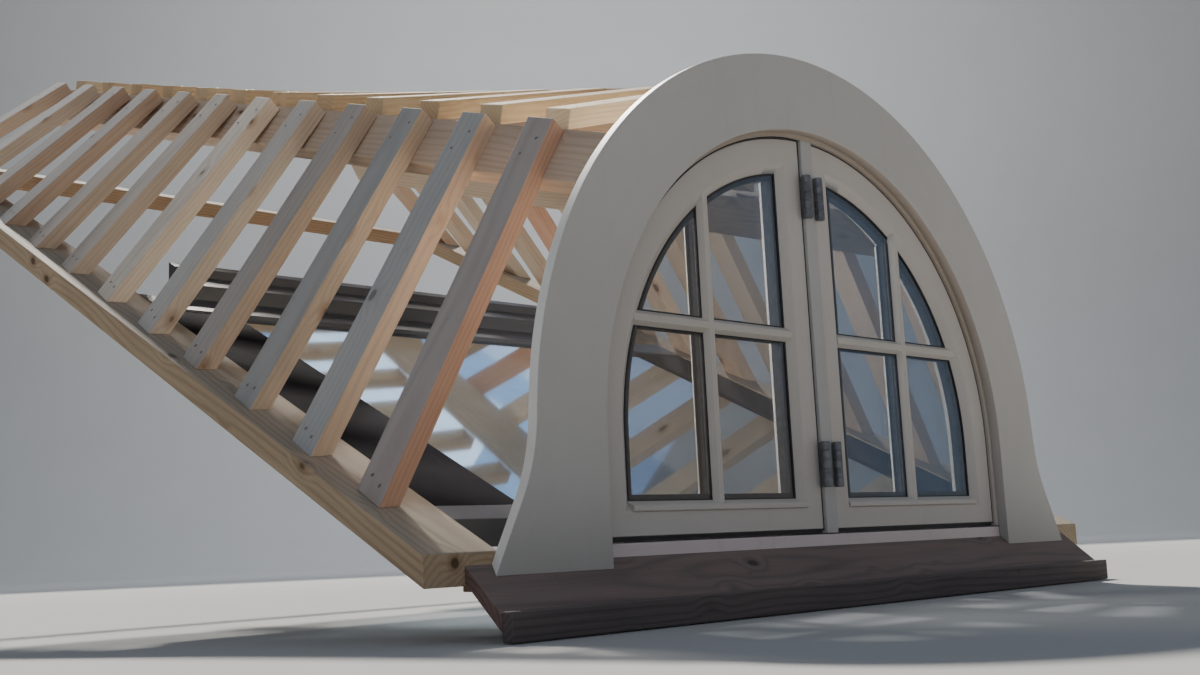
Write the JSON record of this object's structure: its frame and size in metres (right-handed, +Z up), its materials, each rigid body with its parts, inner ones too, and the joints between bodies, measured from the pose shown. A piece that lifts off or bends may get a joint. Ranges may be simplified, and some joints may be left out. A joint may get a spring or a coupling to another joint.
{
  "type": "dormer window",
  "caption": "Round-arched timber dormer window: paired glazed sashes in a flared face plate, on an open rafter frame that runs back up a pitched roof.",
  "frame": {"origin": "middle of the flat underside of the sill beam, below the window", "axes": "+X to the right seen from outside, +Y back into the roof, +Z up"},
  "size_m": [1.95, 2.613, 1.6901],
  "materials": {
    "plate_paint": "matt cream paint",
    "frame_paint": "satin cream paint",
    "sash_paint": "satin cream paint",
    "window_glass": "clear sealed unit",
    "hinge_steel": "dull",
    "apron_stain": "dark stain, weathered",
    "base_timber": "sawn",
    "board_timber": "sawn",
    "plank_timber": "sawn",
    "rafter_timber": "sawn",
    "lower_glass": "clear sealed unit",
    "rail_paint": "dark grey paint",
    "lining_paint": "black paint"
  },
  "bodies": {
    "root": {"face_plate": "plate_paint", "window_frame": "frame_paint", "window_sill": "frame_paint", "centre_mullion": "frame_paint", "left_sash": "sash_paint", "right_sash": "sash_paint", "left_glass": "window_glass", "right_glass": "window_glass", "left_sash_hinges": "hinge_steel", "right_sash_hinges": "hinge_steel", "sill_beam": "base_timber", "apron_board": "apron_stain", "apron_nosing": "apron_stain", "left_sole_plate": "base_timber", "right_sole_plate": "base_timber", "rear_header": "base_timber", "left_side_board": "board_timber", "right_side_board": "board_timber", "ridge_board": "board_timber", "left_rafter_1": "rafter_timber", "left_rafter_2": "rafter_timber", "left_rafter_3": "rafter_timber", "left_rafter_4": "rafter_timber", "left_rafter_5": "rafter_timber", "left_rafter_6": "rafter_timber", "left_rafter_7": "rafter_timber", "left_rafter_8": "rafter_timber", "left_rear_rafters": "rafter_timber", "right_rafter_1": "rafter_timber", "right_rafter_2": "rafter_timber", "right_rafter_3": "rafter_timber", "right_rafter_4": "rafter_timber", "right_rafter_5": "rafter_timber", "right_rafter_6": "rafter_timber", "right_rafter_7": "rafter_timber", "right_rafter_8": "rafter_timber", "right_rear_rafters": "rafter_timber", "left_roof_planks": "plank_timber", "right_roof_planks": "plank_timber", "lower_glass": "lower_glass", "lower_glass_head": "rail_paint", "lower_glass_foot": "rail_paint", "left_lining_board": "lining_paint", "right_lining_board": "lining_paint"}
  },
  "joints": []
}
